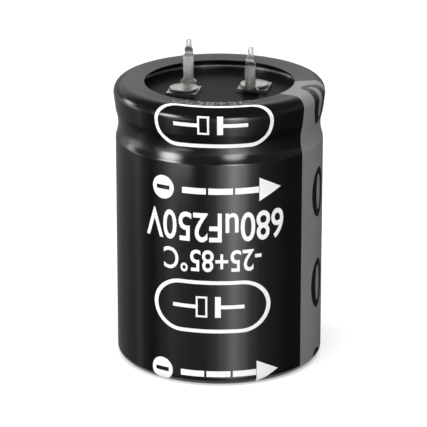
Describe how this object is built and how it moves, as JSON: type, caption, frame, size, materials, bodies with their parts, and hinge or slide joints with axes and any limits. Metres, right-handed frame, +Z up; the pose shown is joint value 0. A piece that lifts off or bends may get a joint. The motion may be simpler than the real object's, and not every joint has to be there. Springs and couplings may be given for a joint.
{
  "type": "electrolytic capacitor",
  "caption": "Snap-in aluminium electrolytic capacitor: sleeved round can with a pressed groove, rolled rim, recessed seal and riveted blade terminals.",
  "frame": {"origin": "centre of the base, where the can's closed end stands", "axes": "+Z up the can's axis to the terminals, -Y the printed front, +X towards the negative stripe and terminal"},
  "size_m": [0.0308, 0.0308, 0.0475],
  "materials": {
    "can_aluminium": "drawn, satin",
    "sleeve_film": "shrunk film, glossy",
    "laminate": "pressed, matt",
    "seal_rubber": "smooth, slightly shiny",
    "tinned_strip": "tinned, bright",
    "rivet_metal": "pressed, satin",
    "inner_aluminium": "rolled, satin",
    "winding_paper": "wound, soaked",
    "tape": "thin film",
    "insulating_paper": "pressed",
    "grey_ink": "printed, semi-gloss",
    "white_ink": "printed"
  },
  "bodies": {
    "root": {"can": "can_aluminium", "sleeve": "sleeve_film", "seal_board": "laminate", "seal_rubber": "seal_rubber", "negative_terminal": "tinned_strip", "positive_terminal": "tinned_strip", "negative_rivet": "rivet_metal", "positive_rivet": "rivet_metal", "negative_washer": "inner_aluminium", "positive_washer": "inner_aluminium", "negative_tab": "inner_aluminium", "positive_tab": "inner_aluminium", "winding": "winding_paper", "winding_tape": "tape", "bottom_paper": "insulating_paper", "negative_stripe": "grey_ink", "minus_bars": "grey_ink", "white_frames": "white_ink", "white_marks": "white_ink"}
  },
  "joints": []
}
